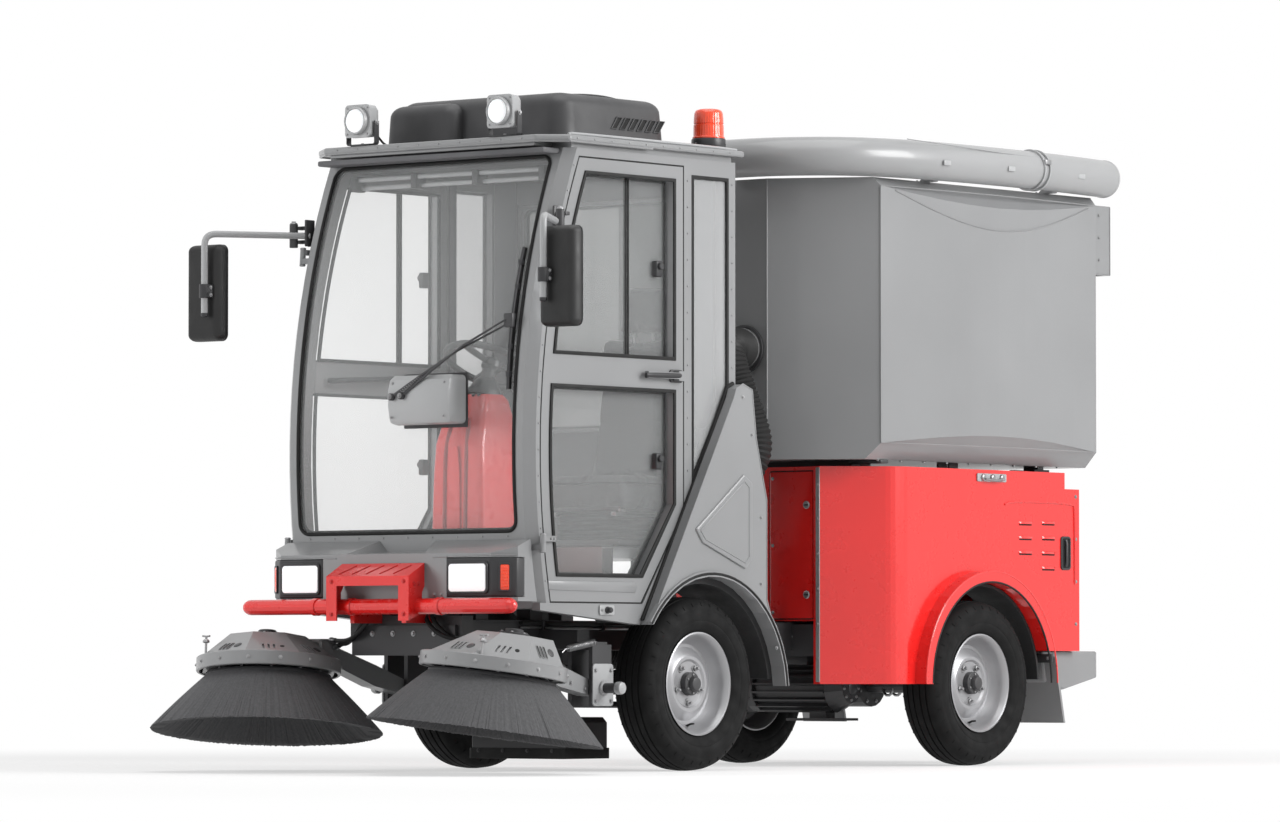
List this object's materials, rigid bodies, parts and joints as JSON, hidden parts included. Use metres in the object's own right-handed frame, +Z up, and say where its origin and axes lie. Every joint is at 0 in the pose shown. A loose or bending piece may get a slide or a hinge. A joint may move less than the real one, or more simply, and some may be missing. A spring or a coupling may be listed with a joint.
{
  "type": "compact street sweeper",
  "caption": "Small road sweeper: glazed two-door cab over the front axle, tilted side brushes at the nose, and a tipping debris hopper with suction ducts behind.",
  "frame": {"origin": "on the ground at the centre of the overall box", "axes": "+X is the vehicle's left, -Y is the way it drives forward, +Z is up"},
  "size_m": [1.9218, 4.2058, 2.531],
  "materials": {
    "amber_lens": "translucent",
    "black_plastic": "grained",
    "bristle": "fibrous",
    "clear_glass": "clear",
    "cylinder_rod": "polished",
    "dark_steel": "semi-matt black paint",
    "grey_paint": "satin paint",
    "hose_rubber": "matt",
    "red_paint": "gloss paint",
    "rubber": "matt",
    "seat_cover": "woven",
    "silver_wheel": "silver wheel paint"
  },
  "bodies": {
    "chassis": {"battery_pack": "black_plastic", "beacon": "amber_lens", "cab_body": "grey_paint", "chassis_frame": "dark_steel", "console": "red_paint", "drive_motor": "dark_steel", "driver_seat": "seat_cover", "fender_left": "grey_paint", "fender_right": "grey_paint", "front_axle": "dark_steel", "front_fascia": "grey_paint", "front_guard": "red_paint", "headlight_left": "black_plastic", "headlight_right": "black_plastic", "hopper_stand": "dark_steel", "mirror_left": "dark_steel", "mirror_right": "dark_steel", "quarter_glass_left": "clear_glass", "quarter_glass_right": "clear_glass", "rear_axle": "dark_steel", "rear_bumper": "grey_paint", "rear_window": "clear_glass", "roof_ac": "black_plastic", "roof_panel": "grey_paint", "side_cover_left": "red_paint", "side_cover_right": "red_paint", "suction_hose": "hose_rubber", "suction_nozzle": "dark_steel", "windscreen": "clear_glass", "wiper": "grey_paint", "work_light_left": "grey_paint", "work_light_right": "grey_paint"},
    "knuckle_left": {"knuckle_left": "dark_steel"},
    "wheel_front_left": {"tyre_front_left": "rubber", "rim_front_left": "silver_wheel"},
    "wheel_rear_left": {"tyre_rear_left": "rubber", "rim_rear_left": "silver_wheel"},
    "door_left": {"door_left": "grey_paint", "door_glass_left": "clear_glass"},
    "lift_cylinder_left": {"lift_cylinder_left": "dark_steel"},
    "lift_rod_left": {"lift_rod_left": "cylinder_rod"},
    "brush_arm_left": {"brush_arm_left": "grey_paint"},
    "brush_left": {"brush_left": "bristle"},
    "knuckle_right": {"knuckle_right": "dark_steel"},
    "wheel_front_right": {"tyre_front_right": "rubber", "rim_front_right": "silver_wheel"},
    "wheel_rear_right": {"tyre_rear_right": "rubber", "rim_rear_right": "silver_wheel"},
    "door_right": {"door_right": "grey_paint", "door_glass_right": "clear_glass"},
    "lift_cylinder_right": {"lift_cylinder_right": "dark_steel"},
    "lift_rod_right": {"lift_rod_right": "cylinder_rod"},
    "brush_arm_right": {"brush_arm_right": "grey_paint"},
    "brush_right": {"brush_right": "bristle"},
    "tie_rod": {"tie_rod": "dark_steel"},
    "hopper": {"hopper": "grey_paint", "top_duct": "grey_paint"},
    "hopper_door": {"hopper_door": "grey_paint"},
    "steering_wheel": {"steering_wheel": "black_plastic"}
  },
  "joints": [
    {"name": "steer_left", "type": "hinge", "parent": "chassis", "child": "knuckle_left", "pos_m": [0.41, -0.51306, 0.325], "axis": [0, 0, 1], "range_deg": [-30, 30]},
    {"name": "steer_right", "type": "hinge", "parent": "chassis", "child": "knuckle_right", "pos_m": [-0.41, -0.51306, 0.325], "axis": [0, 0, 1], "range_deg": [-30, 30]},
    {"name": "tie_rod_pivot", "type": "hinge", "parent": "knuckle_left", "child": "tie_rod", "pos_m": [0.41, -0.39306, 0.25], "axis": [0, 0, 1], "range_deg": [-30, 30]},
    {"name": "steering_turn", "type": "hinge", "parent": "chassis", "child": "steering_wheel", "pos_m": [0.135, -1.17306, 1.5], "axis": [0, 0.4472, 0.8944], "range_deg": [-180, 180]},
    {"name": "spin_front_left", "type": "hinge", "parent": "knuckle_left", "child": "wheel_front_left", "pos_m": [0.516, -0.51306, 0.325], "axis": [1, 0, 0], "continuous": true},
    {"name": "spin_rear_left", "type": "hinge", "parent": "chassis", "child": "wheel_rear_left", "pos_m": [0.56, 1.21094, 0.325], "axis": [1, 0, 0], "continuous": true},
    {"name": "door_hinge_left", "type": "hinge", "parent": "chassis", "child": "door_left", "pos_m": [0.622, -1.41507, 1.4], "axis": [0, -0.076, -0.9971], "range_deg": [0, 70]},
    {"name": "cylinder_foot_left", "type": "hinge", "parent": "chassis", "child": "lift_cylinder_left", "pos_m": [0.42, 1.53694, 0.7], "axis": [-1, 0, 0], "range_deg": [0, 25]},
    {"name": "rod_slide_left", "type": "slide", "parent": "lift_cylinder_left", "child": "lift_rod_left", "axis": [0, -0.494, 0.8695], "range_m": [0, 0.36]},
    {"name": "arm_pivot_left", "type": "hinge", "parent": "chassis", "child": "brush_arm_left", "pos_m": [0.45, -0.98306, 0.31], "axis": [-1, 0, 0], "range_deg": [0, 4]},
    {"name": "brush_spin_left", "type": "hinge", "parent": "brush_arm_left", "child": "brush_left", "pos_m": [0.529, -1.67306, 0.147], "axis": [0.0698, 0.1198, 0.9903], "continuous": true},
    {"name": "spin_front_right", "type": "hinge", "parent": "knuckle_right", "child": "wheel_front_right", "pos_m": [-0.516, -0.51306, 0.325], "axis": [1, 0, 0], "continuous": true},
    {"name": "spin_rear_right", "type": "hinge", "parent": "chassis", "child": "wheel_rear_right", "pos_m": [-0.56, 1.21094, 0.325], "axis": [1, 0, 0], "continuous": true},
    {"name": "door_hinge_right", "type": "hinge", "parent": "chassis", "child": "door_right", "pos_m": [-0.622, -1.41507, 1.4], "axis": [0, 0.076, 0.9971], "range_deg": [0, 70]},
    {"name": "cylinder_foot_right", "type": "hinge", "parent": "chassis", "child": "lift_cylinder_right", "pos_m": [-0.42, 1.53694, 0.7], "axis": [-1, 0, 0], "range_deg": [0, 25]},
    {"name": "rod_slide_right", "type": "slide", "parent": "lift_cylinder_right", "child": "lift_rod_right", "axis": [0, -0.494, 0.8695], "range_m": [0, 0.36]},
    {"name": "arm_pivot_right", "type": "hinge", "parent": "chassis", "child": "brush_arm_right", "pos_m": [-0.45, -0.98306, 0.31], "axis": [-1, 0, 0], "range_deg": [0, 4]},
    {"name": "brush_spin_right", "type": "hinge", "parent": "brush_arm_right", "child": "brush_right", "pos_m": [-0.529, -1.67306, 0.147], "axis": [-0.0698, 0.1198, 0.9903], "continuous": true},
    {"name": "hopper_tip", "type": "hinge", "parent": "chassis", "child": "hopper", "pos_m": [0, 1.83194, 1.16], "axis": [-1, 0, 0], "range_deg": [0, 45]},
    {"name": "hopper_door_hinge", "type": "hinge", "parent": "hopper", "child": "hopper_door", "pos_m": [0, 2.06194, 1.94], "axis": [1, 0, 0], "range_deg": [0, 75]}
  ],
  "couplings": [
    {"joint": "steer_right", "follows": "steer_left", "ratio": 1},
    {"joint": "tie_rod_pivot", "follows": "steer_left", "ratio": -1},
    {"joint": "steering_turn", "follows": "steer_left", "ratio": 6},
    {"joint": "cylinder_foot_left", "follows": "hopper_tip", "ratio": 0.49848},
    {"joint": "rod_slide_left", "follows": "hopper_tip", "m_per_rad": 0.43667},
    {"joint": "cylinder_foot_right", "follows": "hopper_tip", "ratio": 0.49848},
    {"joint": "rod_slide_right", "follows": "hopper_tip", "m_per_rad": 0.43667}
  ]
}
